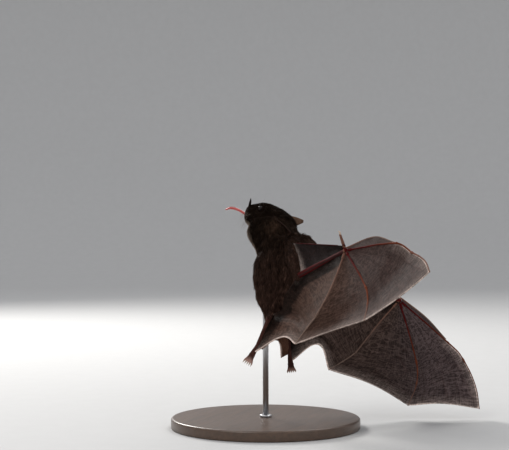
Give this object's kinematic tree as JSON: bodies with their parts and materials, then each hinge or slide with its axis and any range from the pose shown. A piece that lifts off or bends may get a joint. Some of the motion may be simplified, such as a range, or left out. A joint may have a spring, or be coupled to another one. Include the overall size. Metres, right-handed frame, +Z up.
{
  "type": "hovering nectar bat model",
  "caption": "Life-size model of a small brown nectar bat hovering with wings raised back and tongue out, held over a round base by a thin rod.",
  "frame": {"origin": "centre of the base's underside, on the surface that it stands on", "axes": "+Z up along the rod; the bat's nose points to -Y, its left side is towards +X and its wings reach back to +Y; the body leans nose down and banks with its left side up"},
  "size_m": [0.1374, 0.1404, 0.1096],
  "materials": {
    "fur": "short soft dark grey-brown fur",
    "membrane": "thin wrinkled grey-brown wing skin, slightly shiny",
    "bone_skin": "bare reddish skin drawn over the arm and finger bones",
    "ear_skin": "bare brown skin, matt",
    "foot_skin": "dark reddish-brown wrinkled skin",
    "eye": "wet and shiny, near black",
    "tongue": "wet red",
    "stand_wood": "dark stained wood, satin",
    "stand_steel": "brushed"
  },
  "bodies": {
    "root": {"carpus_left": "bone_skin", "carpus_right": "bone_skin", "digit2_left": "bone_skin", "digit2_right": "bone_skin", "digit3_left": "bone_skin", "digit3_right": "bone_skin", "digit4_left": "bone_skin", "digit4_right": "bone_skin", "digit5_left": "bone_skin", "digit5_right": "bone_skin", "ear_left": "ear_skin", "ear_right": "ear_skin", "eye_left": "eye", "eye_right": "eye", "flank_web_left": "membrane", "flank_web_right": "membrane", "foot_left": "foot_skin", "foot_right": "foot_skin", "forearm_left": "bone_skin", "forearm_right": "bone_skin", "forearm_web_left": "membrane", "forearm_web_right": "membrane", "head": "fur", "leading_web_left": "membrane", "leading_web_right": "membrane", "lower_jaw": "fur", "middle_web_left": "membrane", "middle_web_right": "membrane", "neck": "fur", "noseleaf": "ear_skin", "outer_web_left": "membrane", "outer_web_right": "membrane", "shin_left": "foot_skin", "shin_right": "foot_skin", "stand_base": "stand_wood", "stand_rod": "stand_steel", "tail": "foot_skin", "tail_web": "membrane", "thigh_left": "fur", "thigh_right": "fur", "thumb_left": "bone_skin", "thumb_right": "bone_skin", "tongue": "tongue", "trunk": "fur", "upper_arm_left": "fur", "upper_arm_right": "fur"}
  },
  "joints": []
}
